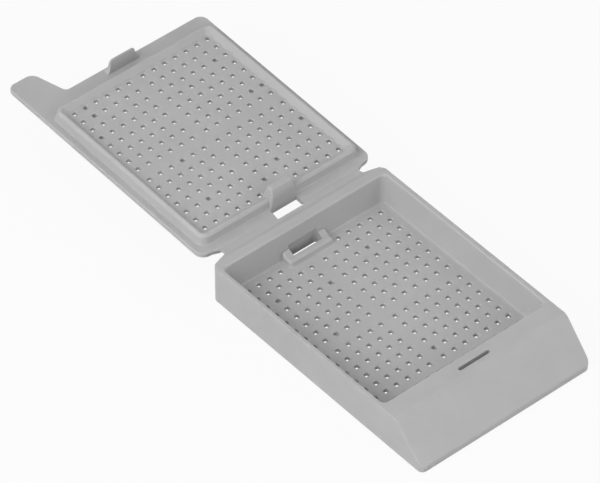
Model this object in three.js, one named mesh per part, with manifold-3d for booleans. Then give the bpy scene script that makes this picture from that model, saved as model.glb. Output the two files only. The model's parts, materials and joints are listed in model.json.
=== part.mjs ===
// Tissue cassette for histology, moulded in one shot: an open tray with a slanted writing
// panel and a snap-off lid joined to it by a thin web. Units are millimetres, +Z is up,
// +Y points from the tray to the opened lid, and the tray stands on Z = 0.
import * as THREE from 'three';
import * as BufferGeometryUtils from 'three/addons/utils/BufferGeometryUtils.js';
import Module from 'manifold-3d';

// ---- driving dimensions -------------------------------------------------------------
// Y values in this list are distances from the hinge line, toward the tray or the lid.

// tray
const BODY_WIDTH = 28.5;         // over the rim
const BODY_HEIGHT = 5.9;         // underside to rim
const BODY_FRONT = 40.7;         // hinge line to the foot of the writing panel
const BODY_BACK = 1.15;          // hinge line to the rear face of the tray
const BODY_TAPER = 0.18;         // side draft, rim to underside
const REAR_CORNER_R = 0.8;
const FRONT_CORNER_R = 0.8;
const SIDE_RIM = 0.77;           // land on top of the side walls
const REAR_RIM = 2.33;           // hinge line to the cavity, at the rim
const CAVITY_FLARE = 0.67;       // the cavity is this much wider at the rim than at its floor, each side
const CAVITY_CORNER_R = 0.7;
const FLOOR_THICKNESS = 0.6;
const FLOOR_RECESS = 1.2;        // hollow below the floor, inside the foot
const FOOT_WIDTH = 1.1;          // wall that the tray stands on
const WALL = 1.0;                // front wall of the cavity, writing panel and land

// writing panel and the land behind it
const PANEL_ANGLE = THREE.MathUtils.degToRad(45);
const PANEL_LIP = 0.95;          // upright step at the panel's foot
const PANEL_EDGE_R = 1.3;
const LAND_WIDTH = 3.02;         // cavity to the panel's upper edge

// web between tray and lid, with a V notch at each end
const WEB_LENGTH = 0.9;
const WEB_THICKNESS = 0.28;
const WEB_SETBACK = 0.12;        // the web lies this far below the rim
const WEB_GAP = 0.3;             // the lid starts this far past the web
const NOTCH_WIDTH = 2.85;        // side of the body to the notch's point
const NOTCH_SPLAY = 0.2;         // the web is this much wider at its edges than at the hinge line
const LID_NOTCH_WIDTH = 1.75;    // shallow outer stretch of the notch on the lid's side
const LID_NOTCH_DEPTH = 0.35;
const HINGE_FLANGE = 0.73;       // thickness of the tray's flange at the web
const GROOVE_BEVEL = 0.2;

// lid
const LID_THICKNESS = 0.73;
const LID_TILT = THREE.MathUtils.degToRad(1.8);
const REFIT_SHIFT = 0.58;        // a snapped-off lid goes back this much nearer the panel
const LID_SETBACK = 0.5;         // lid edge to the panel's upper edge once it is refitted
const LID_CORNER_R = 1.2;
const PLATE_RISE = 0.73;         // perforated plate above the flange's inner face
const PLATE_THICKNESS = 0.6;
const RIDGE_HEIGHT = 0.78;       // sealing ridge above the plate
const RIDGE_TOP = 0.5;
const RIDGE_FIT = 0.2;           // ridge to cavity, each side
const RIDGE_DRAFT = 0.2;
const RIDGE_CORNER_R = 1.2;
const RIDGE_WALL = 0.95;         // ridge wall over the hollow of the lid's outer side
const TAB_LENGTH = 5.1;          // thumb tab past the lid's edge
const TAB_WIDTH_TIP = 4.05;
const TAB_WIDTH_ROOT = 5.6;
const TAB_CORNER_R = 1.0;

// rear tongue of the lid, with a window between it and the web
const TONGUE_X = -0.1;
const TONGUE_WIDTH = 4.4;
const TONGUE_TAPER = 0.4;        // each side, foot to tip
const TONGUE_THICKNESS = 0.9;    // at the tip
const TONGUE_LEAN = 0.45;        // lead-in slope below the tip: run, then height
const TONGUE_LEAD = 1.05;
const TONGUE_FLOOR_GAP = 0.9;    // tip to the tray's floor with the lid refitted
const TONGUE_PRESS = 0.1;        // the refitted tongue's face bears on the rear rim by this much

// pocket in the tray that takes the tongue, open through the floor
const POCKET_X = -0.6;
const POCKET_PLAY = 0.62;        // beside the tongue's tip, each side
const POCKET_FRONT = 1.75;       // from the foot of the rear wall to the outer face of the collar
const COLLAR_WALL = 1.2;         // at the arms' foot
const COLLAR_BAR = 0.87;         // front bar of the collar
const COLLAR_HEIGHT = 0.9;       // front bar above the floor
const COLLAR_RISE = 0.6;         // the arms climb this much toward the rear wall
const COLLAR_DRAFT = 0.12;
const COLLAR_CORNER_R = 0.35;
const POCKET_FOOT = 0.36;        // behind the pocket the rear foot is only this thick
const CATCH_DEPTH = 0.55;        // the tongue's catch, cut into the rear wall
const CATCH_HEIGHT = 1.85;       // above the floor

// latch hook near the lid's free edge, and its slot in the land
const HOOK_HEIGHT = 1.9;
const HOOK_LENGTH = 4.6;
const HOOK_THICKNESS = 0.55;
const HOOK_TAPER = 0.3;
const HOOK_NOSE = 0.08;
const HOOK_BACK_SHARE = 0.5;     // the nose starts at this share of the hook's height
const SLOT_SETBACK = 1.4;        // panel's upper edge to the slot's middle
const SLOT_PLAY = 0.3;           // beside the hook, each end
const SLOT_CLEARANCE = 0.2;      // hook to slot, each face

// perforation, the same grid in the tray and the lid
const HOLE_SIDE = 0.58;          // square holes, sides along X and Y
const HOLE_CORNER_R = 0.09;
const PITCH = 1.815;
const WIDE_PITCH = 2.35;         // once in each direction, between two groups
const GRID_MARGIN = 0.5;         // outermost hole's middle to the edge of the lid's plate, at least
const HOLE_MARGIN = 0.05;        // hole to any piece that stands on the plate
const GRID_X = 0.15;             // the grids sit this far right of the middle
const TRAY_GRID_Y = 0.2;         // and this far from the middle of the cavity, toward the web
const LID_GRID_Y = 0.1;          // or from the middle of the ridge, toward the free edge

// ---- derived levels -----------------------------------------------------------------
const FLOOR_Z = FLOOR_RECESS + FLOOR_THICKNESS;
const CAVITY_DEPTH = BODY_HEIGHT - FLOOR_Z;
const CAVITY_HALF = BODY_WIDTH / 2 - SIDE_RIM;
const PANEL_TOP = BODY_FRONT - (BODY_HEIGHT - PANEL_LIP) / Math.tan(PANEL_ANGLE);
const CAVITY_BACK = -REAR_RIM;
const CAVITY_FRONT = -PANEL_TOP + LAND_WIDTH;
const SLOT_DISTANCE = PANEL_TOP - SLOT_SETBACK;
const HINGE_Z = BODY_HEIGHT - WEB_SETBACK;
const WEB_HALF = BODY_WIDTH / 2 - NOTCH_WIDTH;
const LID_NEAR = WEB_LENGTH / 2;
const LID_EDGE = PANEL_TOP - REFIT_SHIFT - LID_SETBACK;
const WINDOW_DEPTH = REAR_RIM - REFIT_SHIFT - TONGUE_PRESS;
const PLATE_Z = BODY_HEIGHT + PLATE_RISE;
const RIDGE_Z = PLATE_Z + RIDGE_HEIGHT;
const RIDGE_HALF = CAVITY_HALF - RIDGE_FIT;
const RIDGE_NEAR = -CAVITY_BACK + RIDGE_FIT - REFIT_SHIFT;
const RIDGE_FAR = -CAVITY_FRONT - RIDGE_FIT - REFIT_SHIFT;
const WELL_INSET = RIDGE_DRAFT + RIDGE_TOP + RIDGE_HEIGHT;
const COLUMNS = gridLine(2 * (RIDGE_HALF - WELL_INSET));
const ROWS = gridLine(RIDGE_FAR - RIDGE_NEAR - 2 * WELL_INSET);
const OVER = 1;                  // how far a cutter runs past the face it opens

const wasm = await Module();
wasm.setup();

// ---- solids from three.js geometries ------------------------------------------------
function toSolid(geometry) {
  geometry.deleteAttribute('normal');
  geometry.deleteAttribute('uv');
  const merged = BufferGeometryUtils.mergeVertices(geometry, 1e-5);
  return new wasm.Manifold(new wasm.Mesh({
    numProp: 3,
    vertProperties: Float32Array.from(merged.attributes.position.array),
    triVerts: Uint32Array.from(merged.index.array),
  }));
}

function toMesh(name, solid, material) {
  const { vertProperties, triVerts } = solid.getMesh();
  const geometry = new THREE.BufferGeometry();
  geometry.setAttribute('position', new THREE.BufferAttribute(Float32Array.from(vertProperties), 3));
  geometry.setIndex(new THREE.BufferAttribute(Uint32Array.from(triVerts), 1));
  const flat = geometry.toNonIndexed();
  flat.computeVertexNormals();
  const mesh = new THREE.Mesh(flat, material);
  mesh.name = name;
  return mesh;
}

// Closed outline through the given corners, each [x, y, radius].
function outline(corners, steps = 4) {
  const points = [];
  corners.forEach(([x, y, radius = 0], i) => {
    const corner = new THREE.Vector2(x, y);
    if (radius === 0) {
      points.push(corner);
      return;
    }
    const before = corners.at(i - 1);
    const after = corners[(i + 1) % corners.length];
    const a = new THREE.Vector2(before[0], before[1]).sub(corner).normalize();
    const b = new THREE.Vector2(after[0], after[1]).sub(corner).normalize();
    const reach = radius / Math.tan(a.angleTo(b) / 2);
    const start = corner.clone().addScaledVector(a, reach);
    const end = corner.clone().addScaledVector(b, reach);
    const middle = a.clone().add(b).normalize();
    const centre = corner.clone().addScaledVector(middle, Math.hypot(reach, radius));
    const from = start.clone().sub(centre);
    const turn = from.cross(end.clone().sub(centre)) < 0 ? -1 : 1;
    const sweep = from.angleTo(end.clone().sub(centre)) * turn;
    for (let k = 0; k <= steps; k += 1) {
      points.push(start.clone().rotateAround(centre, (sweep * k) / steps));
    }
  });
  return new THREE.Shape(points);
}

const box = (x0, x1, y0, y1, radius = 0) => outline([
  [x0, y0, radius], [x1, y0, radius], [x1, y1, radius], [x0, y1, radius],
]);

// Upright prism from z0 to z1. Its top is `flare` wider all round than its foot.
function prism(shape, z0, z1, flare = 0) {
  const geometry = new THREE.ExtrudeGeometry(shape, { depth: z1 - z0, bevelEnabled: false });
  const bounds = new THREE.Box2().setFromPoints(shape.getPoints());
  const centre = bounds.getCenter(new THREE.Vector2());
  const position = geometry.attributes.position;
  for (let i = 0; i < position.count; i += 1) {
    if (flare !== 0 && position.getZ(i) > 0) {
      position.setX(i, position.getX(i) + flare * Math.sign(position.getX(i) - centre.x));
      position.setY(i, position.getY(i) + flare * Math.sign(position.getY(i) - centre.y));
    }
  }
  return toSolid(geometry.translate(0, 0, z0));
}

// Bar from x0 to x1 whose section is drawn in Y and Z. Its top is `taper` shorter at each end.
function bar(section, x0, x1, taper = 0) {
  const geometry = new THREE.ExtrudeGeometry(section, { depth: x1 - x0, bevelEnabled: false });
  geometry.applyMatrix4(new THREE.Matrix4().makeBasis(
    new THREE.Vector3(0, 1, 0), new THREE.Vector3(0, 0, 1), new THREE.Vector3(1, 0, 0),
  )).translate(x0, 0, 0);
  geometry.computeBoundingBox();
  const { min, max } = geometry.boundingBox;
  const position = geometry.attributes.position;
  for (let i = 0; i < position.count; i += 1) {
    const share = (position.getZ(i) - min.z) / (max.z - min.z);
    const side = Math.sign(position.getX(i) - (x0 + x1) / 2);
    position.setX(i, position.getX(i) - side * taper * share);
  }
  return toSolid(geometry);
}

// ---- perforation --------------------------------------------------------------------
// Hole places along a plate, centred on zero: as many as fit, in two groups.
function gridLine(plateLength) {
  const free = plateLength - 2 * GRID_MARGIN - (WIDE_PITCH - PITCH);
  const count = Math.floor(free / PITCH) + 1;
  const firstGroup = Math.floor(count / 2);
  const places = Array.from({ length: count }, (_, i) => (
    i * PITCH + (i < firstGroup ? 0 : WIDE_PITCH - PITCH)
  ));
  return places.map((place) => place - places.at(-1) / 2);
}

// All hole cutters of one plate, except those that `solidAt` keeps closed.
function perforation(centreY, z0, z1, solidAt) {
  const half = HOLE_SIDE / 2;
  const square = outline([
    [-half, -half, HOLE_CORNER_R], [half, -half, HOLE_CORNER_R],
    [half, half, HOLE_CORNER_R], [-half, half, HOLE_CORNER_R],
  ], 1);
  const holes = [];
  for (const column of COLUMNS) {
    for (const row of ROWS) {
      const x = GRID_X + column;
      const y = centreY + row;
      if (!solidAt(x, y)) {
        const hole = new THREE.ExtrudeGeometry(square, { depth: z1 - z0, bevelEnabled: false });
        holes.push(hole.translate(x, y, z0));
      }
    }
  }
  return toSolid(BufferGeometryUtils.mergeGeometries(holes));
}

// Whether a hole at x, y would cut what stands on the plate between the given lines.
function holeMeets(x, y, x0, x1, y0, y1) {
  const reach = HOLE_SIDE / 2 + HOLE_MARGIN;
  return x > x0 - reach && x < x1 + reach && y > y0 - reach && y < y1 + reach;
}

// ---- tray ---------------------------------------------------------------------------
function makeTray() {
  const half = BODY_WIDTH / 2;
  const foot = half - BODY_TAPER;
  const rear = -BODY_BACK - BODY_TAPER;

  // footprint with rounded corners, drafted to the rim
  let tray = prism(outline([
    [-foot, -BODY_FRONT, FRONT_CORNER_R], [foot, -BODY_FRONT, FRONT_CORNER_R],
    [foot, rear, REAR_CORNER_R], [-foot, rear, REAR_CORNER_R],
  ]), 0, BODY_HEIGHT, BODY_TAPER);

  // side view with the slanted panel and its rounded upper edge
  tray = tray.intersect(bar(outline([
    [OVER, -OVER], [OVER, BODY_HEIGHT], [-PANEL_TOP, BODY_HEIGHT, PANEL_EDGE_R],
    [-BODY_FRONT, PANEL_LIP], [-BODY_FRONT, -OVER],
  ], 6), -BODY_WIDTH, BODY_WIDTH));

  // flange that carries the web, running out into the rear corners
  const flangeEdge = -WEB_LENGTH / 2;
  const flangeEnd = half - REAR_CORNER_R / 2;
  const splayed = WEB_HALF + NOTCH_SPLAY;
  tray = tray.add(prism(outline([
    [-flangeEnd, -BODY_BACK - REAR_CORNER_R], [flangeEnd, -BODY_BACK - REAR_CORNER_R], [flangeEnd, -BODY_BACK],
    [splayed, flangeEdge], [-splayed, flangeEdge], [-flangeEnd, -BODY_BACK],
  ]), BODY_HEIGHT - HINGE_FLANGE, BODY_HEIGHT));
  tray = tray.subtract(grooveBevel(flangeEdge, -1));

  // pocket collar on the floor, joined to it and to the rear wall below
  const wallFoot = CAVITY_BACK - CAVITY_FLARE;
  const pocketHalf = TONGUE_WIDTH / 2 - TONGUE_TAPER + POCKET_PLAY;
  const pocket = { x0: POCKET_X - pocketHalf, x1: POCKET_X + pocketHalf };
  const collar0 = pocket.x0 - COLLAR_WALL;
  const collar1 = pocket.x1 + COLLAR_WALL;
  const collarFront = wallFoot - POCKET_FRONT;
  const collarBack = collarFront + COLLAR_BAR;
  const collarTop = FLOOR_Z + COLLAR_HEIGHT;
  const armTop = collarTop + COLLAR_RISE;
  const collar = prism(
    box(collar0, collar1, collarFront, wallFoot + CAVITY_FLARE, COLLAR_CORNER_R),
    FLOOR_Z - FLOOR_THICKNESS / 2, armTop, -COLLAR_DRAFT,
  ).intersect(bar(outline([
    [collarFront, FLOOR_RECESS], [wallFoot + CAVITY_FLARE / 3, FLOOR_RECESS], [wallFoot + CAVITY_FLARE / 3, armTop],
    [collarBack, collarTop], [collarFront, collarTop],
  ]), -half, half));

  // cavity
  const floorHalf = CAVITY_HALF - CAVITY_FLARE;
  tray = tray.subtract(prism(
    box(-floorHalf, floorHalf, CAVITY_FRONT + CAVITY_FLARE, wallFoot, CAVITY_CORNER_R),
    FLOOR_Z, BODY_HEIGHT + OVER, CAVITY_FLARE * (1 + OVER / CAVITY_DEPTH),
  ));

  // hollow below the floor
  const hollowHalf = foot - FOOT_WIDTH;
  const hollow = box(-hollowHalf, hollowHalf, CAVITY_FRONT + CAVITY_FLARE, rear - FOOT_WIDTH, CAVITY_CORNER_R);
  tray = tray.subtract(prism(hollow, -OVER, FLOOR_RECESS));
  const relief = box(collar0, collar1, rear - FOOT_WIDTH - OVER, rear - POCKET_FOOT);
  tray = tray.subtract(prism(relief, -OVER, FLOOR_RECESS));

  // hollow below the land and the panel
  const panelWall = WALL / Math.cos(PANEL_ANGLE);
  const landZ = BODY_HEIGHT - WALL;
  const wedgeBack = CAVITY_FRONT - WALL;
  const wedgeFront = -BODY_FRONT + WALL;
  const wedgeTop = -PANEL_TOP - (WALL - panelWall) / Math.tan(PANEL_ANGLE);
  const wedgeFrontZ = BODY_HEIGHT - panelWall - (-PANEL_TOP - wedgeFront) * Math.tan(PANEL_ANGLE);
  tray = tray.subtract(bar(outline([
    [wedgeBack, -OVER], [wedgeBack, landZ], [wedgeTop, landZ],
    [wedgeFront, wedgeFrontZ], [wedgeFront, -OVER],
  ]), -hollowHalf, hollowHalf));

  // latch slot through the land
  const slotHalf = HOOK_LENGTH / 2 + SLOT_PLAY;
  const slotWide = HOOK_THICKNESS / 2 + SLOT_CLEARANCE;
  tray = tray.subtract(prism(
    box(-slotHalf, slotHalf, -SLOT_DISTANCE - slotWide, -SLOT_DISTANCE + slotWide, slotWide * 0.99),
    landZ - OVER, BODY_HEIGHT + OVER,
  ));

  // pocket between the collar and the catch in the rear wall
  tray = tray.add(collar).subtract(prism(
    box(pocket.x0, pocket.x1, collarBack, wallFoot + CATCH_DEPTH), FLOOR_RECESS - OVER, FLOOR_Z + CATCH_HEIGHT,
  ));

  // perforated floor, closed under the collar
  const gridY = (CAVITY_BACK + CAVITY_FRONT) / 2 + TRAY_GRID_Y;
  const atCollar = (x, y) => holeMeets(x, y, collar0, collar1, collarFront, 0);
  return tray.subtract(perforation(gridY, 0, FLOOR_Z + OVER, atCollar));
}

// Cutter that bevels a flange's upper edge along the web. `side` is -1 for the tray, 1 for the lid.
function grooveBevel(edgeY, side) {
  const near = edgeY - side * OVER;
  return bar(outline([
    [near, BODY_HEIGHT + OVER], [edgeY + side * (GROOVE_BEVEL + OVER), BODY_HEIGHT + OVER],
    [near, BODY_HEIGHT - GROOVE_BEVEL - OVER],
  ]), -BODY_WIDTH, BODY_WIDTH);
}

// ---- web ----------------------------------------------------------------------------
function makeWeb() {
  const traySide = -WEB_LENGTH / 2;
  const lidSide = LID_NEAR - WEB_GAP;
  const lidSplay = (NOTCH_SPLAY * lidSide) / LID_NEAR;
  const windowX0 = TONGUE_X - TONGUE_WIDTH / 2;
  const windowX1 = TONGUE_X + TONGUE_WIDTH / 2;
  return prism(outline([
    [-WEB_HALF - NOTCH_SPLAY, traySide], [WEB_HALF + NOTCH_SPLAY, traySide], [WEB_HALF, 0],
    [WEB_HALF + lidSplay, lidSide], [windowX1, lidSide], [windowX1, 0], [windowX0, 0], [windowX0, lidSide],
    [-WEB_HALF - lidSplay, lidSide], [-WEB_HALF, 0],
  ]), HINGE_Z - WEB_THICKNESS, HINGE_Z);
}

// ---- lid ----------------------------------------------------------------------------
// Drawn lying flat at the rim's level, inner side up, then turned about the hinge line.
function makeLid() {
  const half = BODY_WIDTH / 2;
  const inner = BODY_HEIGHT;
  const outer = BODY_HEIGHT - LID_THICKNESS;
  const tabEnd = LID_EDGE + TAB_LENGTH;
  const splayed = WEB_HALF + NOTCH_SPLAY;
  const notchX = half - LID_NOTCH_WIDTH;
  const notchY = LID_NEAR + LID_NOTCH_DEPTH;
  const cornerY = notchY + LID_NOTCH_DEPTH / 2;

  // flange with the thumb tab at the left of the free edge
  let lid = prism(outline([
    [-half, cornerY, LID_CORNER_R], [-notchX, notchY], [-splayed, LID_NEAR],
    [splayed, LID_NEAR], [notchX, notchY], [half, cornerY, LID_CORNER_R], [half, LID_EDGE, LID_CORNER_R],
    [-half + TAB_WIDTH_ROOT, LID_EDGE, TAB_CORNER_R / 2], [-half + TAB_WIDTH_TIP, tabEnd, TAB_CORNER_R],
    [-half, tabEnd, TAB_CORNER_R],
  ]), outer, inner);

  // ridge that plugs the cavity: drafted outside, sloped down to the plate inside
  lid = lid.add(prism(
    box(-RIDGE_HALF, RIDGE_HALF, RIDGE_NEAR, RIDGE_FAR, RIDGE_CORNER_R),
    inner - LID_THICKNESS / 2, RIDGE_Z, -RIDGE_DRAFT,
  ));
  lid = lid.subtract(prism(
    box(-RIDGE_HALF + WELL_INSET, RIDGE_HALF - WELL_INSET, RIDGE_NEAR + WELL_INSET, RIDGE_FAR - WELL_INSET,
      RIDGE_CORNER_R / 3),
    PLATE_Z, RIDGE_Z + OVER, RIDGE_HEIGHT + OVER,
  ));

  // hollow on the lid's outer side, behind the plate
  lid = lid.subtract(prism(
    box(-RIDGE_HALF + RIDGE_WALL, RIDGE_HALF - RIDGE_WALL, RIDGE_NEAR + RIDGE_WALL, RIDGE_FAR - RIDGE_WALL,
      RIDGE_CORNER_R / 2),
    outer - OVER, PLATE_Z - PLATE_THICKNESS,
  ));

  // rear tongue: upright face, lead-in slope, and a back that runs down into the ridge
  const tongueTip = inner + CAVITY_DEPTH - TONGUE_FLOOR_GAP;
  const tongueX0 = TONGUE_X - TONGUE_WIDTH / 2;
  const tongueX1 = TONGUE_X + TONGUE_WIDTH / 2;
  const tongueBack = WINDOW_DEPTH + 2 * TONGUE_THICKNESS;
  lid = lid.add(bar(outline([
    [WINDOW_DEPTH, outer], [RIDGE_NEAR + RIDGE_WALL, outer], [RIDGE_NEAR + RIDGE_WALL, PLATE_Z - PLATE_THICKNESS],
    [tongueBack, PLATE_Z - PLATE_THICKNESS], [tongueBack, RIDGE_Z - RIDGE_HEIGHT / 2],
    [WINDOW_DEPTH + TONGUE_LEAN + TONGUE_THICKNESS, tongueTip, TONGUE_THICKNESS / 4],
    [WINDOW_DEPTH + TONGUE_LEAN, tongueTip, TONGUE_THICKNESS / 3],
    [WINDOW_DEPTH, tongueTip - TONGUE_LEAD, TONGUE_THICKNESS / 2],
  ], 3), tongueX0, tongueX1, TONGUE_TAPER));

  // window between the web and the tongue
  lid = lid.subtract(prism(box(tongueX0, tongueX1, LID_NEAR - OVER, WINDOW_DEPTH), outer - OVER, RIDGE_Z));
  lid = lid.subtract(grooveBevel(LID_NEAR, 1));

  // latch hook, with its nose toward the free edge
  const hookFront = SLOT_DISTANCE - REFIT_SHIFT + HOOK_THICKNESS / 2;
  const hookBack = hookFront - HOOK_THICKNESS;
  const hookTop = inner + HOOK_HEIGHT;
  const noseZ = inner + HOOK_HEIGHT * HOOK_BACK_SHARE;
  lid = lid.add(bar(outline([
    [hookBack, inner - LID_THICKNESS / 2], [hookFront, inner - LID_THICKNESS / 2], [hookFront, noseZ],
    [hookFront + HOOK_NOSE, noseZ + HOOK_NOSE], [hookFront, hookTop, HOOK_THICKNESS / 3],
    [hookBack, hookTop, HOOK_THICKNESS / 3],
  ], 3), -HOOK_LENGTH / 2, HOOK_LENGTH / 2, HOOK_TAPER));

  // perforated plate, closed where the tongue's back stands on it
  const gridY = (RIDGE_NEAR + RIDGE_FAR) / 2 + LID_GRID_Y;
  const atTongue = (x, y) => holeMeets(x, y, tongueX0, tongueX1, 0, tongueBack);
  return lid.subtract(perforation(gridY, inner - OVER, PLATE_Z + OVER / 4, atTongue));
}

// ---- scene --------------------------------------------------------------------------
const plastic = new THREE.MeshStandardMaterial({ color: 0xa9aaa9, roughness: 0.62, metalness: 0 });

const cassette = new THREE.Group();
cassette.name = 'tissue_cassette';
cassette.add(toMesh('tray', makeTray(), plastic));
cassette.add(toMesh('hinge_web', makeWeb(), plastic));

// The hinge line carries the lid: it stands a little above flat, as it leaves the mould.
const hinge = new THREE.Group();
hinge.position.set(0, 0, HINGE_Z);
hinge.rotation.x = LID_TILT;
const lid = toMesh('lid', makeLid(), plastic);
lid.position.z = -HINGE_Z;
hinge.add(lid);
cassette.add(hinge);

// The origin lies on the bench, under the middle of the open cassette.
const extent = new THREE.Box3().setFromObject(cassette);
cassette.position.y = -(extent.min.y + extent.max.y) / 2;

export default cassette;
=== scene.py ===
# Tissue cassette in grey acetal, open: the tray, the lid and the thin web that joins them.
# Pieces are modelled in millimetres from the hinge line and the bench, then scaled down into the frame.
import json
import math

import bmesh
import bpy
from mathutils import Matrix, Quaternion, Vector


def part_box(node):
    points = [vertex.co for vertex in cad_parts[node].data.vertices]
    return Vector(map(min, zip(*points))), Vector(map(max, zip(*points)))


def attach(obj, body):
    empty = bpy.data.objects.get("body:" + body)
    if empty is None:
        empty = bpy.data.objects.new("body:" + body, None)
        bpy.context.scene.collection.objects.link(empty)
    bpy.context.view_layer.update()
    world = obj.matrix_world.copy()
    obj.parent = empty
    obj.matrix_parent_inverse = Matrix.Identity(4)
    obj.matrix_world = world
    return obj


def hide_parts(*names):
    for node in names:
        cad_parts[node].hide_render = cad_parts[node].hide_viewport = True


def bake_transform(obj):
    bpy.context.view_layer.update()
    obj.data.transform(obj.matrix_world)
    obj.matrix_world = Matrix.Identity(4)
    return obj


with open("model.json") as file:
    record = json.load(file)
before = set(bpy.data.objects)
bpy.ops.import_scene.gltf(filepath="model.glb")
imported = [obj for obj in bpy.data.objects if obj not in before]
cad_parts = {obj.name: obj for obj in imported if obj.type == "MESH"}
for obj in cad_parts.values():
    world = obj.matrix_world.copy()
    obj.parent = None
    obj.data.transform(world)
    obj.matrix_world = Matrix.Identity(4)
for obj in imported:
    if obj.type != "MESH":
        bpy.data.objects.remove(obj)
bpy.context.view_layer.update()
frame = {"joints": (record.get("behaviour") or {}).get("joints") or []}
scene = bpy.context.scene
mm = 0.001

hingePlace = Vector(frame["joints"][0]["pos_m"]) / mm
hingeY = hingePlace.y
trayLow, trayHigh = [Vector(c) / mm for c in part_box("tray")]
print("frame loaded, hinge line at y", round(hingeY, 3), "mm")

# what the tray and the lid share, in mm
shared = {
    "half": trayHigh.x,
    "rimZ": trayHigh.z,
    "floorZ": 1.8,
    "rearRim": 2.33,
    "sideRim": 0.77,
    "land": 3.02,
    "panelLip": 0.95,
    "refitShift": 0.58,     # a snapped-off lid goes back this much nearer the panel
    "flange": 0.73,
    "webHalf": 11.4,        # from the middle to the points of the V notches
    "webEdge": 0.45,        # each flange ends this far from the hinge line
    "webSplay": 0.2,
    "grooveDeep": 0.14,     # the flanges slope down this far to the web
    "grooveRun": 3.5,       # and run this far for each step down
    "tongueX": (-2.3, 2.1),
    "hookHalf": 2.3,
    "hookThick": 0.5,
    "slotSetback": 1.4,
    "sink": 0.3,            # what stands on a surface starts this far below it
    "past": 1,              # cutters run this far past what they open
    "pitch": 1.815,
    "widePitch": 2.35,
    "columns": 13,
    "rows": 15,
    "gridX": 0.15,          # the grids sit this far right of the middle
    "holeSide": 0.58,
    "holeCorner": 0.08,
    "holeEdge": 0.14,
    "holeFoot": 0.05,
    "holeSkin": 0.12,       # left at the foot of a blocked hole
}
frontY = trayLow.y - hingeY
panelTop = frontY + shared["rimZ"] - shared["panelLip"]
cavityFront = panelTop + shared["land"]
slotY = panelTop + shared["slotSetback"]

# in mm: heights closer than a hair are the same, and so are edges closer than a touch
hair = 0.001
touch = 0.01

# a quarter round in steps of 30 degrees, rise and growth as shares of its radius, and a step past the face
quarterRound = ((0.5, 0.134), (0.366, 0.366), (0.134, 0.5), (0.5, 1.866))


def activate(piece):
    if bpy.context.mode != "OBJECT":
        bpy.ops.object.mode_set(mode="OBJECT")
    bpy.ops.object.select_all(action="DESELECT")
    piece.select_set(True)
    bpy.context.view_layer.objects.active = piece


def edit(piece):
    activate(piece)
    bpy.ops.object.mode_set(mode="EDIT")
    bpy.ops.mesh.select_all(action="DESELECT")


def done():
    bpy.ops.object.mode_set(mode="OBJECT")


def editMesh():
    return bmesh.from_edit_mesh(bpy.context.object.data)


# selects the vertices, edges or faces that pass the test; in edit mode
def pick(kind, test):
    bpy.ops.mesh.select_mode(type=kind)
    bpy.ops.mesh.select_all(action="DESELECT")
    mesh = editMesh()
    parts = {"VERT": mesh.verts, "EDGE": mesh.edges, "FACE": mesh.faces}[kind]
    for part in [part for part in parts if test(part)]:
        part.select_set(True)
    bmesh.update_edit_mesh(bpy.context.object.data)


def middle(edge):
    return (edge.verts[0].co + edge.verts[1].co) / 2


# tells whether an edge runs along x, y or z
def runsAlong(edge, axis):
    run = edge.verts[1].co - edge.verts[0].co
    return abs(run[axis]) > 0.9 * run.length


def isSharp(edge, angle=28):
    return len(edge.link_faces) == 2 and math.degrees(edge.calc_face_angle()) > angle


def block(name, x0, x1, y0, y1, z0, z1):
    if bpy.context.mode != "OBJECT":
        bpy.ops.object.mode_set(mode="OBJECT")
    bpy.ops.object.select_all(action="DESELECT")
    centre = ((x0 + x1) / 2, (y0 + y1) / 2, (z0 + z1) / 2)
    bpy.ops.mesh.primitive_cube_add(size=1, location=centre, scale=(x1 - x0, y1 - y0, z1 - z0))
    piece = bpy.context.object
    piece.name = name
    bpy.ops.object.transform_apply(location=True, rotation=True, scale=True)
    edit(piece)
    return piece


def roundPicked(width, segments):
    bpy.ops.mesh.bevel(offset=width, offset_type="OFFSET", segments=segments, profile=0.5, affect="EDGES",
                       clamp_overlap=False, miter_outer="ARC")


# rounds the upright edges that pass the test
def roundUpright(radius, segments, test=lambda e: True):
    pick("EDGE", lambda e: runsAlong(e, 2) and isSharp(e, 10) and test(e))
    roundPicked(radius, segments)


# eases every sharp edge that passes the test
def ease(width, segments=3, test=lambda e: True):
    pick("EDGE", lambda e: isSharp(e) and test(e))
    roundPicked(width, segments)


# stretches what is picked to a share of its width, about the middle or about x
def widen(share, x=0):
    bpy.ops.transform.resize(value=(share, 1, 1), center_override=(x, 0, 0))


# moves what lies at height z outward by grow, all round
def spread(z, grow):
    pick("VERT", lambda v: abs(v.co.z - z) < hair)
    spots = [v.co for v in editMesh().verts if v.select]
    low = Vector((min(c.x for c in spots), min(c.y for c in spots), z))
    high = Vector((max(c.x for c in spots), max(c.y for c in spots), z))
    wide, deep = high.x - low.x, high.y - low.y
    bpy.ops.transform.resize(value=((wide + 2 * grow) / wide, (deep + 2 * grow) / deep, 1),
                             center_override=(low + high) / 2)


# lets a cutter flare at the face it opens, at height z, so that the rim it leaves is rounded
def flareTop(z, radius, up=1):
    pick("FACE", lambda f: f.normal.z * up > 0.9)
    height = z - up * radius
    moved = [v for v in editMesh().verts if v.select]
    bpy.ops.transform.translate(value=(0, 0, height - moved[0].co.z))
    for rise, grow in quarterRound:
        bpy.ops.mesh.extrude_region_move(TRANSFORM_OT_translate={"value": (0, 0, up * rise * radius)})
        height += up * rise * radius
        spread(height, grow * radius)
        pick("FACE", lambda f: f.normal.z * up > 0.9 and abs(f.calc_center_median().z - height) < hair)


# widens the foot of a piece that stands on a surface at height z; rings are heights above it and growths
def flareFoot(z, rings):
    for rise, grow in rings:
        score((0, 0, z + rise), (0, 0, 1))
        spread(z + rise, grow)
    spread(z - shared["sink"], rings[-1][1])


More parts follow.
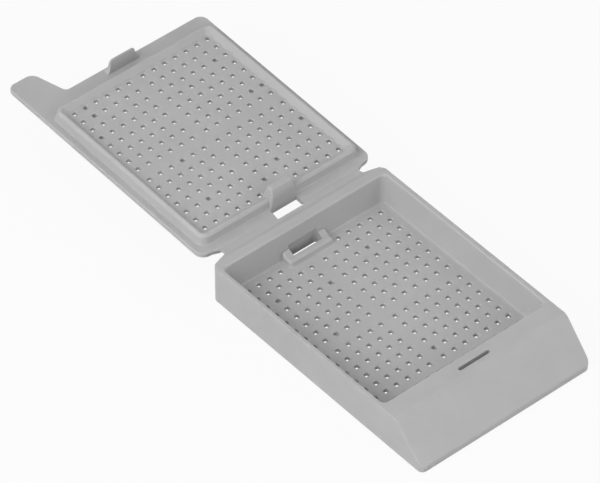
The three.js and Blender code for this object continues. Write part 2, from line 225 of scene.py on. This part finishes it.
# cuts away what lies on the normal's side of a plane and closes the cut
def cutAway(point, normal):
    bpy.ops.mesh.select_all(action="SELECT")
    bpy.ops.mesh.bisect(plane_co=point, plane_no=Vector(normal).normalized(), use_fill=True, clear_outer=True,
                        threshold=0.00001)


# marks a line round the piece without cutting anything away
def score(point, normal):
    bpy.ops.mesh.select_all(action="SELECT")
    bpy.ops.mesh.bisect(plane_co=point, plane_no=normal, threshold=0.00001)


def combine(piece, other, how):
    activate(piece)
    modifier = piece.modifiers.new(how, "BOOLEAN")
    modifier.operation = how
    modifier.solver = "MANIFOLD"
    modifier.object = other
    bpy.ops.object.modifier_apply(modifier=modifier.name)
    bpy.data.objects.remove(other, do_unlink=True)
    edit(piece)
    bpy.ops.mesh.select_all(action="SELECT")
    bpy.ops.mesh.remove_doubles(threshold=hair)
    done()


# flat faces stay flat and rounded edges run smoothly into them
def finishSurface(piece, angle=38):
    activate(piece)
    bpy.ops.object.shade_smooth_by_angle(angle=math.radians(angle))
    modifier = piece.modifiers.new("normals", "WEIGHTED_NORMAL")
    modifier.weight = 90
    modifier.keep_sharp = True
    bpy.ops.object.modifier_apply(modifier=modifier.name)


# from millimetres about the hinge line to metres in the frame, turned about the hinge if it tilts
def intoFrame(piece, tilt=0.0):
    activate(piece)
    up = Matrix.Translation((0, 0, hingePlace.z))
    turn = up @ Matrix.Rotation(tilt, 4, "X") @ up.inverted()
    piece.data.transform(Matrix.Translation((0, hingeY * mm, 0)) @ Matrix.Scale(mm, 4) @ turn)
    piece.data.update()


# places of the holes' middles along one side of a grid: two groups with a wider step between them
def gridLine(count):
    wider = shared["widePitch"] - shared["pitch"]
    places = [i * shared["pitch"] + (wider if i >= count // 2 else 0) for i in range(count)]
    return [place - places[-1] / 2 for place in places]


# pulls the picked end face in and out again, ring by ring, so that the pin flares at that end
def flareEnd(end, up, edge, reach, rings):
    bpy.ops.transform.translate(value=(0, 0, -up * edge))
    for rise, grow in rings:
        bpy.ops.mesh.extrude_region_move(TRANSFORM_OT_translate={"value": (0, 0, up * rise * edge)})
        wider = (reach + grow * edge) / reach
        bpy.ops.transform.resize(value=(wider, wider, 1), center_override=(0, 0, end))
        reach += grow * edge


# one hole's cutter: a slim square pin that flares at the faces it opens
def makePin(name, z0, z1, openBelow=True):
    half = shared["holeSide"] / 2
    piece = block(name, -half, half, -half, half, z0, z1)
    roundUpright(shared["holeCorner"], 1)
    pick("FACE", lambda f: f.normal.z > 0.9)
    flareEnd(z1, 1, shared["holeEdge"], half, quarterRound)
    if openBelow:
        pick("FACE", lambda f: f.normal.z < -0.9 and f.calc_center_median().z < z0 + hair)
        flareEnd(z0, -1, shared["holeFoot"], half, ((1.0, 1.0), (0.5, 0.5)))
    done()
    return piece


# divides both faces of a plate between and across its holes, so that no face has many of them
def divideFaces(piece, centreY, z0, z1):
    def onPlate(face):
        height = face.calc_center_median().z
        return abs(face.normal.z) > 0.99 and min(abs(height - z0), abs(height - z1)) < touch

    edit(piece)
    columns = (shared["columns"], shared["gridX"], (1, 0, 0))
    rows = (shared["rows"], centreY, (0, 1, 0))
    for count, centre, normal in (columns, rows):
        places = gridLine(count)
        between = [(a + b) / 2 for a, b in zip(places, places[1:])]
        ends = [places[0] - shared["pitch"] / 2, places[-1] + shared["pitch"] / 2]
        for line in sorted(places + between + ends):
            pick("FACE", onPlate)
            bpy.ops.mesh.bisect(plane_co=Vector(normal) * (centre + line), plane_no=normal, threshold=0.00001)
    done()


# cuts every hole of a plate at once; a blocked hole keeps a thin skin at its foot
def perforate(piece, centreY, z0, z1, missing, blocked):
    divideFaces(piece, centreY, z0, z1)
    through = makePin("through", z0, z1)
    blind = makePin("blind", z0 + shared["holeSkin"], z1, openBelow=False)
    copies = []
    for i, x in enumerate(gridLine(shared["columns"])):
        for j, y in enumerate(gridLine(shared["rows"])):
            if (i, j) not in missing:
                source = blind if (i, j) in blocked else through
                copy = source.copy()
                copy.data = source.data.copy()
                copy.data.transform(Matrix.Translation((shared["gridX"] + x, centreY + y, 0)))
                scene.collection.objects.link(copy)
                copies.append(copy)
    for source in (through, blind):
        bpy.data.objects.remove(source, do_unlink=True)
    bpy.ops.object.select_all(action="DESELECT")
    for copy in copies:
        copy.select_set(True)
    bpy.context.view_layer.objects.active = copies[0]
    bpy.ops.object.join()
    combine(piece, bpy.context.object, "DIFFERENCE")
    return len(copies)


tray = {
    "back": -1.15,
    "taper": 0.18,          # the sides and the back draw in this far at the foot
    "cornerR": 0.8,
    "panelR": 1.3,
    "edge": 0.16,
    "flangeIn": 0.9,
    "flangeEdge": 0.1,
    "flare": 0.67,          # the cavity's walls lean in this far at the floor
    "cavityR": 0.9,
    "floorR": 0.16,
    "rimEdge": 0.36,
    "floorThick": 0.6,
    "foot": 1.1,
    "footEdge": 0.15,
    "hollowR": 0.7,
    "hollowEase": 0.15,
    "wall": 1.0,
    "wedgeR": 0.3,
    "slotPlay": 0.3,
    "slotClearance": 0.02,
    "slotDown": 0.5,        # the slot's cutter reaches this far below the land
    "slotRound": 0.88,
    "slotEdge": 0.06,
    "pocketX": (-3.02, 1.82),
    "pocketR": 0.45,
    "pocketEdge": 0.12,
    "pocketFoot": 0.36,
    "catchDeep": 0.55,
    "catchHigh": 1.85,
    "reliefR": 0.12,
    "reliefEdge": 0.05,
    "collarWall": 1.2,
    "collarBar": 0.87,
    "collarFront": 1.75,
    "collarHigh": 0.9,
    "collarRise": 0.6,
    "collarIn": 0.25,
    "collarR": 0.45,
    "collarEdge": 0.4,
    "collarFoot": ((0.35, 0.02), (0.15, 0.08), (0.05, 0.17), (0, 0.27)),
    "gridY": 0.2,
    # holes by column from the left and row from the front
    "missing": [(4, 14), (5, 14), (6, 14), (7, 14)],
    "blocked": [(6, 2), (2, 7), (1, 12), (9, 12), (5, 11)],
}
floorUnder = shared["floorZ"] - tray["floorThick"]
wallFoot = -shared["rearRim"] - tray["flare"]
collarFront = wallFoot - tray["collarFront"]
barBack = collarFront + tray["collarBar"]
collarX = (tray["pocketX"][0] - tray["collarWall"], tray["pocketX"][1] + tray["collarWall"])


# body with drafted sides; the slanted panel is sliced off and its upper edge rolled
def makeTrayBody():
    half, rimZ = shared["half"], shared["rimZ"]
    body = block("trayMoulding", -half, half, frontY, tray["back"], 0, rimZ)
    roundUpright(tray["cornerR"], 6)
    pick("VERT", lambda v: abs(v.co.z) < hair)
    widen((half - tray["taper"]) / half)
    cutAway((0, panelTop, rimZ), (0, -1, 1))
    pick("EDGE", lambda e: abs(middle(e).y - panelTop) < touch and abs(middle(e).z - rimZ) < touch)
    roundPicked(tray["panelR"] * math.tan(math.radians(22.5)), 8)
    ease(tray["edge"])
    done()
    return body


# flange for the web
def addTrayFlange(body):
    back, rimZ = tray["back"], shared["rimZ"]
    root = shared["half"] - tray["cornerR"] / 2
    buried = back - tray["flangeIn"]
    flange = block("flange", -root, root, buried, -shared["webEdge"], rimZ - shared["flange"], rimZ)
    score((0, back, 0), (0, 1, 0))
    pick("VERT", lambda v: v.co.y > back + touch)
    widen((shared["webHalf"] + shared["webSplay"]) / root)
    ease(tray["flangeEdge"], 3, lambda e: middle(e).y > buried + touch)
    cutAway((0, -shared["webEdge"], rimZ - shared["grooveDeep"]), (0, 1, shared["grooveRun"]))
    done()
    combine(body, flange, "UNION")


# cavity with sloping walls, eased where it meets the floor and the rim
def cutCavity(body):
    floorZ, rimZ = shared["floorZ"], shared["rimZ"]
    half = shared["half"] - shared["sideRim"]
    cavity = block("cavity", -half, half, cavityFront, -shared["rearRim"], floorZ, rimZ)
    roundUpright(tray["cavityR"], 6)
    spread(floorZ, -tray["flare"])
    pick("EDGE", lambda e: isSharp(e) and middle(e).z < floorZ + touch)
    roundPicked(tray["floorR"], 4)
    flareTop(rimZ, tray["rimEdge"])
    done()
    combine(body, cavity, "DIFFERENCE")


# hollows below the floor and behind the panel
def cutHollows(body):
    wall, rimZ = tray["wall"], shared["rimZ"]
    half = shared["half"] - tray["taper"] - tray["foot"]
    front = cavityFront + tray["flare"]
    rear = tray["back"] - tray["taper"] - tray["foot"]
    hollow = block("hollow", -half, half, front, rear, 0, floorUnder)
    roundUpright(tray["hollowR"], 5)
    pick("EDGE", lambda e: isSharp(e) and middle(e).z > floorUnder - touch)
    roundPicked(tray["hollowEase"], 3)
    flareTop(0, tray["footEdge"], -1)
    done()
    combine(body, hollow, "DIFFERENCE")
    wedge = block("wedge", -half, half, frontY + wall, cavityFront - wall, 0, rimZ - wall)
    cutAway((0, panelTop, rimZ - wall * math.sqrt(2)), (0, -1, 1))
    ease(tray["wedgeR"], 4, lambda e: middle(e).z > touch)
    flareTop(0, tray["footEdge"], -1)
    done()
    combine(body, wedge, "DIFFERENCE")


# slot for the latch hook
def cutSlot(body):
    rimZ = shared["rimZ"]
    long = shared["hookHalf"] + tray["slotPlay"]
    wide = shared["hookThick"] / 2 + tray["slotClearance"]
    bottom = rimZ - tray["wall"] - tray["slotDown"]
    slot = block("slot", -long, long, slotY - wide, slotY + wide, bottom, rimZ)
    roundUpright(wide * tray["slotRound"], 8)
    flareTop(rimZ, tray["slotEdge"])
    done()
    combine(body, slot, "DIFFERENCE")


# collar of the rear pocket: its arms climb toward the wall
def addCollar(body):
    floorZ = shared["floorZ"]
    barZ = floorZ + tray["collarHigh"]
    buried = wallFoot + tray["collarIn"]
    collar = block("collar", *collarX, collarFront, buried, floorZ - shared["sink"], barZ)
    score((0, barBack, 0), (0, 1, 0))
    pick("VERT", lambda v: v.co.z > barZ - touch and v.co.y > barBack + touch)
    bpy.ops.transform.translate(value=(0, 0, tray["collarRise"]))
    roundUpright(tray["collarR"], 6, lambda e: middle(e).y < collarFront + touch)
    ease(tray["collarEdge"], 6, lambda e: middle(e).z > floorZ)
    flareFoot(floorZ, tray["collarFoot"])
    done()
    combine(body, collar, "UNION")


# pocket for the lid's tongue with its catch in the wall, and the relief in the rear foot behind it
def cutPocket(body):
    catchBack = wallFoot + tray["catchDeep"]
    pocket = block("pocket", *tray["pocketX"], barBack, catchBack, 0, shared["floorZ"] + tray["catchHigh"])
    roundUpright(tray["pocketR"], 5, lambda e: middle(e).y > barBack + touch)
    ease(tray["pocketEdge"], 3)
    done()
    combine(body, pocket, "DIFFERENCE")
    rear = tray["back"] - tray["taper"]
    footFront = rear - tray["foot"]
    relief = block("relief", *collarX, footFront - shared["past"], rear - tray["pocketFoot"], 0, floorUnder)
    roundUpright(tray["reliefR"], 3, lambda e: middle(e).y > footFront)
    flareTop(0, tray["reliefEdge"], -1)
    done()
    combine(body, relief, "DIFFERENCE")


def makeTray():
    body = makeTrayBody()
    addTrayFlange(body)
    cutCavity(body)
    cutHollows(body)
    cutSlot(body)
    addCollar(body)
    cutPocket(body)
    centreY = (cavityFront - shared["rearRim"]) / 2 + tray["gridY"]
    holes = perforate(body, centreY, floorUnder, shared["floorZ"], tray["missing"], tray["blocked"])
    finishSurface(body)
    intoFrame(body)
    print("tray moulded with", holes, "holes,", len(body.data.polygons), "faces")
    return body


trayPiece = makeTray()
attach(trayPiece, "tray")
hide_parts("tray")

lid = {
    "tilt": math.radians(1.8),
    "setback": 0.5,
    "notchWidth": 1.75,
    "notchDeep": 0.35,
    "notchStep": 1.5,       # the outer corners step back this many times as far as the notches
    "cornerR": 1.2,
    "tabLong": 5.1,
    "tabTip": 4.05,
    "tabRoot": 5.6,
    "tabR": 1.0,
    "edge": 0.13,
    "plateRise": 0.73,
    "plateThick": 0.6,
    "ridgeHigh": 0.78,
    "ridgeTop": 0.5,
    "ridgeFit": 0.2,
    "ridgeDraft": 0.2,
    "ridgeR": 1.2,
    "ridgeEdge": 0.42,
    "ridgeFoot": ((0.2, 0.01), (0.1, 0.04), (0.03, 0.1), (0, 0.16)),
    "ridgeWall": 0.95,
    "wellRound": 0.7,
    "wellEase": 0.12,
    "wellEdge": 0.08,
    "hollowR": 0.6,
    "hollowEase": 0.15,
    "hollowEdge": 0.12,
    "tonguePress": 0.1,
    "tongueTaper": 0.4,
    "tongueThick": 0.9,
    "tongueLean": 0.45,
    "tongueLead": 1.05,
    "tongueFloorGap": 0.9,
    "tongueUp": 0.02,       # it starts this far inside the flange's outer face
    "tongueFree": 0.3,      # its edges are eased from this far above the flange
    "tongueCrease": 0.4,
    "tongueEdge": 0.28,
    "windowDown": 0.5,
    "hookHigh": 1.9,
    "hookTaper": 0.3,
    "hookNose": 0.08,
    "hookRoot": 0.12,       # it is this much thicker at its root
    "hookLead": 0.42,       # its inner side leans this far over its height
    "hookCorner": 0.45,
    "hookEdge": 0.13,
    "hookFoot": ((0.6, 0.02), (0.4, 0.06), (0.22, 0.13), (0.08, 0.26), (0, 0.42)),
    "gridY": 0.1,
    # holes by column from the left and row from the web
    "blocked": [(0, 11), (1, 14), (1, 13), (11, 12), (11, 8), (12, 8), (3, 6), (12, 4), (8, 2), (2, 2),
                (6, 1)],
}
# the lid is drawn lying flat at the rim's level with its inner side up, then tilted about the hinge line
inner = shared["rimZ"]
outer = inner - shared["flange"]
plateZ = inner + lid["plateRise"]
plateUnder = plateZ - lid["plateThick"]
ridgeZ = plateZ + lid["ridgeHigh"]
ridgeHalf = shared["half"] - shared["sideRim"] - lid["ridgeFit"]
ridgeNear = shared["rearRim"] + lid["ridgeFit"] - shared["refitShift"]
ridgeFar = -cavityFront - lid["ridgeFit"] - shared["refitShift"]
edgeY = -panelTop - shared["refitShift"] - lid["setback"]


# flange with its notched rear edge and the thumb tab
def makeLidFlange():
    half, near = shared["half"], shared["webEdge"]
    splayed = shared["webHalf"] + shared["webSplay"]
    notchX = half - lid["notchWidth"]
    tabFoot = -half + lid["tabRoot"]
    body = block("lidMoulding", -half, half, near, edgeY, outer, inner)
    for x in (-notchX, -splayed, splayed, notchX, tabFoot):
        score((x, 0, 0), (1, 0, 0))
    pick("VERT", lambda v: v.co.y < near + touch and abs(v.co.x) > half - touch)
    bpy.ops.transform.translate(value=(0, lid["notchDeep"] * lid["notchStep"], 0))
    pick("VERT", lambda v: v.co.y < near + touch and abs(abs(v.co.x) - notchX) < touch)
    bpy.ops.transform.translate(value=(0, lid["notchDeep"], 0))
    pick("FACE", lambda f: f.normal.y > 0.9 and f.calc_center_median().x < tabFoot)
    bpy.ops.mesh.extrude_region_move(TRANSFORM_OT_translate={"value": (0, lid["tabLong"], 0)})
    widen(lid["tabTip"] / lid["tabRoot"], -half)
    bpy.ops.mesh.select_all(action="SELECT")
    bpy.ops.mesh.dissolve_limited(angle_limit=math.radians(1))
    roundUpright(lid["tabR"], 6, lambda e: middle(e).y > edgeY + touch)
    roundUpright(lid["tabR"] / 2, 5,
                 lambda e: abs(middle(e).x - tabFoot) < touch and middle(e).y > edgeY - touch)
    roundUpright(lid["cornerR"], 7, lambda e: abs(middle(e).x) > half - touch and isSharp(e, 60))
    ease(lid["edge"])
    cutAway((0, near, inner - shared["grooveDeep"]), (0, -1, shared["grooveRun"]))
    done()
    return body


# ridge that plugs the cavity, with a well between its sloping inner sides that leaves the plate
def addRidge(body):
    ridge = block("ridge", -ridgeHalf, ridgeHalf, ridgeNear, ridgeFar, inner - shared["sink"], ridgeZ)
    spread(ridgeZ, -lid["ridgeDraft"])
    roundUpright(lid["ridgeR"], 7)
    pick("EDGE", lambda e: isSharp(e) and middle(e).z > ridgeZ - touch)
    roundPicked(lid["ridgeEdge"], 7)
    flareFoot(inner, lid["ridgeFoot"])
    done()
    combine(body, ridge, "UNION")
    inset = lid["ridgeDraft"] + lid["ridgeTop"]
    half = ridgeHalf - inset
    well = block("well", -half, half, ridgeNear + inset, ridgeFar - inset, plateZ, ridgeZ)
    roundUpright(lid["ridgeR"] * lid["wellRound"], 5)
    spread(plateZ, -lid["ridgeHigh"])
    pick("EDGE", lambda e: isSharp(e) and middle(e).z < plateZ + touch)
    roundPicked(lid["wellEase"], 3)
    flareTop(ridgeZ, lid["wellEdge"])
    done()
    combine(body, well, "DIFFERENCE")


# shallow hollow in the outer side, behind the plate
def cutLidHollow(body):
    wall = lid["ridgeWall"]
    half = ridgeHalf - wall
    hollow = block("hollow", -half, half, ridgeNear + wall, ridgeFar - wall, outer, plateUnder)
    roundUpright(lid["hollowR"], 5)
    pick("EDGE", lambda e: isSharp(e) and middle(e).z > inner)
    roundPicked(lid["hollowEase"], 3)
    flareTop(outer, lid["hollowEdge"], -1)
    done()
    combine(body, hollow, "DIFFERENCE")


# rear tongue: upright face, lead-in slope at the tip, back running down to the plate; a window before it
def addTongue(body):
    x0, x1 = shared["tongueX"]
    faceY = shared["rearRim"] - shared["refitShift"] - lid["tonguePress"]
    crestY = faceY + lid["tongueLean"] + lid["tongueThick"]
    backY = faceY + 2 * lid["tongueThick"]
    backZ = ridgeZ - lid["ridgeHigh"] / 2
    tip = inner + (inner - shared["floorZ"]) - lid["tongueFloorGap"]
    tall = tip - outer
    free = inner + lid["tongueFree"]
    tongue = block("tongue", x0, x1, faceY, backY, outer + lid["tongueUp"], tip)
    cutAway((0, faceY, tip - lid["tongueLead"]), (0, -lid["tongueLead"], lid["tongueLean"]))
    cutAway((0, crestY, tip), (0, tip - backZ, backY - crestY))
    cutAway((x0, 0, outer), (-tall, 0, lid["tongueTaper"]))
    cutAway((x1, 0, outer), (tall, 0, lid["tongueTaper"]))
    pick("EDGE", lambda e: isSharp(e, 15) and not isSharp(e) and middle(e).z > free)
    roundPicked(lid["tongueCrease"], 5)
    ease(lid["tongueEdge"], 5, lambda e: middle(e).z > free)
    done()
    combine(body, tongue, "UNION")
    window = block("window", x0, x1, shared["webEdge"] - shared["past"], faceY, outer, ridgeZ)
    pick("FACE", lambda f: f.normal.z < -0.9)
    bpy.ops.transform.translate(value=(0, 0, -lid["windowDown"]))
    done()
    combine(body, window, "DIFFERENCE")


# latch hook with a slight nose toward the free edge
def addHook(body):
    hookFront = -slotY - shared["refitShift"] + shared["hookThick"] / 2
    hookBack = hookFront - shared["hookThick"] - lid["hookRoot"]
    hookTop = inner + lid["hookHigh"]
    noseZ = inner + lid["hookHigh"] / 2
    half, tall = shared["hookHalf"], hookTop - inner
    innerSide = (0, -tall, lid["hookLead"])
    hook = block("hook", -half, half, hookBack, hookFront, inner - shared["sink"], hookTop)
    score((0, 0, noseZ), (0, 0, 1))
    pick("VERT", lambda v: abs(v.co.z - noseZ) < touch and v.co.y > hookFront - touch)
    bpy.ops.transform.translate(value=(0, lid["hookNose"], 0))
    for side in (-1, 1):
        cutAway((side * half, 0, inner), (side * tall, 0, lid["hookTaper"]))
    cutAway((0, hookBack, inner), innerSide)
    pick("EDGE", lambda e: isSharp(e) and runsAlong(e, 1) and middle(e).z > hookTop - touch)
    roundPicked(lid["hookCorner"], 6)
    ease(lid["hookEdge"], 4, lambda e: middle(e).z > inner)
    flareFoot(inner, lid["hookFoot"])
    # what the foot adds beyond the flange's eased edge and the inner side comes off again
    cutAway((0, edgeY - lid["edge"], inner), (0, 1, 0))
    cutAway((0, hookBack, inner), innerSide)
    done()
    combine(body, hook, "UNION")


def makeLid():
    body = makeLidFlange()
    addRidge(body)
    cutLidHollow(body)
    addTongue(body)
    addHook(body)
    holes = perforate(body, (ridgeNear + ridgeFar) / 2 + lid["gridY"], plateUnder, plateZ, [], lid["blocked"])
    finishSurface(body)
    intoFrame(body, lid["tilt"])
    print("lid moulded with", holes, "holes,", len(body.data.polygons), "faces")
    return body


lidPiece = makeLid()
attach(lidPiece, "lid")
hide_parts("lid")

web = {
    "thick": 0.28,
    "tuck": 0.14,           # it runs this far into each flange
    "inset": 0.03,
    "windowPlay": 0.02,
    "bands": 12,
}


# thin web in line with both flanges, scored across into bands
def makeWeb():
    top, past = hingePlace.z, shared["past"]
    reach = shared["webEdge"] + web["tuck"]
    point, edge = shared["webHalf"], shared["webHalf"] + shared["webSplay"]
    film = block("hingeFilm", -point, point, -reach, reach, top - web["thick"], top)
    score((0, 0, 0), (0, 1, 0))
    pick("VERT", lambda v: abs(v.co.y) > reach - touch)
    widen((point + (edge - point) * reach / shared["webEdge"] - web["inset"]) / point)
    done()
    x0, x1 = shared["tongueX"]
    play = web["windowPlay"]
    window = block("window", x0 - play, x1 + play, 0, reach + past, top - past, top + past)
    done()
    combine(film, window, "DIFFERENCE")
    edit(film)
    for i in range(1, web["bands"]):
        score((0, -reach + 2 * reach * i / web["bands"], 0), (0, 1, 0))
    done()
    activate(film)
    bpy.ops.object.shade_smooth_by_angle(angle=math.radians(50))
    intoFrame(film)
    print("web made,", len(film.data.polygons), "faces")
    return film


webPiece = makeWeb()
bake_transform(webPiece)
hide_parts("hinge_web")

# matte grey acetal; lengths in metres, as object coordinates are; each noise has size, detail and roughness
acetal = {
    "colour": (0.392, 0.392, 0.392),
    "cloud": (0.006, 3, 0.55),
    "cloudAmount": 0.035,
    "patch": (0.002, 4, 0.6),
    "roughness": (0.44, 0.58),
    "grain": (0.00035, 5, 0.65),
    "grainHeight": 0.000012,
    "grainStrength": 0.5,
    "noiseRange": (0.3, 0.7),
    "ior": 1.48,
    "soak": 0.7,
    "soakDepth": 0.0002,
}


def makeAcetal():
    material = bpy.data.materials.new("greyAcetal")
    material.use_nodes = True
    tree = material.node_tree
    shader = tree.nodes["Principled BSDF"]
    place = tree.nodes.new("ShaderNodeTexCoord")

    def noise(size, detail, rough):
        node = tree.nodes.new("ShaderNodeTexNoise")
        node.inputs["Scale"].default_value = 1 / size
        node.inputs["Detail"].default_value = detail
        node.inputs["Roughness"].default_value = rough
        tree.links.new(place.outputs["Object"], node.inputs["Vector"])
        return node

    # faint clouds in the colour, as pigment gives in a moulding
    cloud = noise(*acetal["cloud"])
    ramp = tree.nodes.new("ShaderNodeValToRGB")
    shades = (1 - acetal["cloudAmount"], 1 + acetal["cloudAmount"])
    for stop, position, shade in zip(ramp.color_ramp.elements, acetal["noiseRange"], shades):
        stop.position = position
        stop.color = [c * shade for c in acetal["colour"]] + [1]
    tree.links.new(cloud.outputs["Fac"], ramp.inputs["Fac"])
    tree.links.new(ramp.outputs["Color"], shader.inputs["Base Color"])

    # satin patches
    patch = noise(*acetal["patch"])
    sheen = tree.nodes.new("ShaderNodeMapRange")
    sheen.inputs["From Min"].default_value, sheen.inputs["From Max"].default_value = acetal["noiseRange"]
    sheen.inputs["To Min"].default_value, sheen.inputs["To Max"].default_value = acetal["roughness"]
    tree.links.new(patch.outputs["Fac"], sheen.inputs["Value"])
    tree.links.new(sheen.outputs["Result"], shader.inputs["Roughness"])

    # fine grain of the mould
    grain = noise(*acetal["grain"])
    bump = tree.nodes.new("ShaderNodeBump")
    bump.inputs["Strength"].default_value = acetal["grainStrength"]
    bump.inputs["Distance"].default_value = acetal["grainHeight"]
    tree.links.new(grain.outputs["Fac"], bump.inputs["Height"])
    tree.links.new(bump.outputs["Normal"], shader.inputs["Normal"])
    shader.inputs["IOR"].default_value = acetal["ior"]

    # light soaks a little way into the plastic
    shader.inputs["Subsurface Weight"].default_value = acetal["soak"]
    shader.inputs["Subsurface Radius"].default_value = (1, 1, 1)
    shader.inputs["Subsurface Scale"].default_value = acetal["soakDepth"]
    return material


greyAcetal = makeAcetal()
for piece in (trayPiece, lidPiece, webPiece):
    piece.data.materials.clear()
    piece.data.materials.append(greyAcetal)
print("materials ready")

# the camera's place is in millimetres, its angles in degrees
studio = {
    "place": (-337.548, -377.207, 498.851),
    "heading": 41.9123,
    "pitch": 44.5402,
    "roll": 1.5147,
    "lens": 335.24,
    "sensor": 36,
    "clip": (0.01, 20),
    "floorSize": 6,
    "floorColour": (0.5, 0.5, 0.5),
    "floorRoughness": 0.9,
    "floorGlow": 0.93,
    "world": 0.5,
    # place and size in metres and power of each soft light
    "lights": {
        "leftLow": ((-0.46, 0.03, 0.26), 0.4, 1.25),
        "leftHigh": ((-0.24, -0.03, 0.26), 0.25, 0.5),
        "frontLow": ((0.03, -0.3, 0.1), 0.25, 0.28),
        "front": ((0.03, -0.25, 0.18), 0.2, 0.04),
        "right": ((0.8, -0.2, 0.5), 0.4, 0.5),
    },
}


def makeCamera():
    heading, pitch, roll = [math.radians(studio[angle]) for angle in ("heading", "pitch", "roll")]
    level = math.cos(pitch)
    ahead = Vector((math.sin(heading) * level, math.cos(heading) * level, -math.sin(pitch)))
    bpy.ops.object.select_all(action="DESELECT")
    bpy.ops.object.camera_add(location=Vector(studio["place"]) * mm)
    camera = bpy.context.object
    camera.rotation_mode = "QUATERNION"
    camera.rotation_quaternion = ahead.to_track_quat("-Z", "Y") @ Quaternion((0, 0, 1), roll)
    camera.data.lens = studio["lens"]
    camera.data.sensor_width = studio["sensor"]
    camera.data.clip_start, camera.data.clip_end = studio["clip"]
    scene.camera = camera


# 1 for rays that come from the camera, directly or by way of a mirror or a glass
def seenRays(tree):
    rays = tree.nodes.new("ShaderNodeLightPath")
    seen = rays.outputs["Is Camera Ray"]
    for kind in ("Is Glossy Ray", "Is Transmission Ray"):
        either = tree.nodes.new("ShaderNodeMath")
        either.operation = "MAXIMUM"
        tree.links.new(seen, either.inputs[0])
        tree.links.new(rays.outputs[kind], either.inputs[1])
        seen = either.outputs[0]
    return seen


# pale floor: seen directly it is nearly white, and it still takes the object's shadow
def makeFloor():
    bpy.ops.object.select_all(action="DESELECT")
    bpy.ops.mesh.primitive_plane_add(size=studio["floorSize"], location=(0, 0, 0))
    floor = bpy.context.object
    floor.name = "floor"
    material = bpy.data.materials.new("paleFloor")
    material.use_nodes = True
    tree = material.node_tree
    output = tree.nodes["Material Output"]
    plain = tree.nodes["Principled BSDF"]
    plain.inputs["Base Color"].default_value = (*studio["floorColour"], 1)
    plain.inputs["Roughness"].default_value = studio["floorRoughness"]
    glow = tree.nodes.new("ShaderNodeEmission")
    glow.inputs["Strength"].default_value = 1.0
    seen = tree.nodes.new("ShaderNodeMath")
    seen.operation = "MULTIPLY"
    seen.inputs[1].default_value = studio["floorGlow"]
    mix = tree.nodes.new("ShaderNodeMixShader")
    tree.links.new(seenRays(tree), seen.inputs[0])
    tree.links.new(seen.outputs[0], mix.inputs["Fac"])
    tree.links.new(plain.outputs["BSDF"], mix.inputs[1])
    tree.links.new(glow.outputs["Emission"], mix.inputs[2])
    tree.links.new(mix.outputs["Shader"], output.inputs["Surface"])
    floor.data.materials.append(material)


# a square soft light aimed at the middle of the cassette
def makeLight(name, place, size, power):
    bpy.ops.object.select_all(action="DESELECT")
    bpy.ops.object.light_add(type="AREA", location=place)
    lamp = bpy.context.object
    lamp.name = name
    lamp.data.energy = power
    lamp.data.size = size
    lamp.rotation_mode = "QUATERNION"
    lamp.rotation_quaternion = (-lamp.location).to_track_quat("-Z", "Y")


# even white light all round; seen directly it is plain white
def makeWorld():
    world = bpy.data.worlds.new("studioWorld")
    scene.world = world
    world.use_nodes = True
    tree = world.node_tree
    soft = tree.nodes["Background"]
    soft.inputs["Color"].default_value = (1, 1, 1, 1)
    soft.inputs["Strength"].default_value = studio["world"]
    white = tree.nodes.new("ShaderNodeBackground")
    white.inputs["Color"].default_value = (1, 1, 1, 1)
    mix = tree.nodes.new("ShaderNodeMixShader")
    tree.links.new(seenRays(tree), mix.inputs["Fac"])
    tree.links.new(soft.outputs["Background"], mix.inputs[1])
    tree.links.new(white.outputs["Background"], mix.inputs[2])
    tree.links.new(mix.outputs["Shader"], tree.nodes["World Output"].inputs["Surface"])


makeCamera()
makeFloor()
makeWorld()
for name, (place, size, power) in studio["lights"].items():
    makeLight(name, place, size, power)
scene.view_settings.view_transform = "Standard"
print("studio ready")
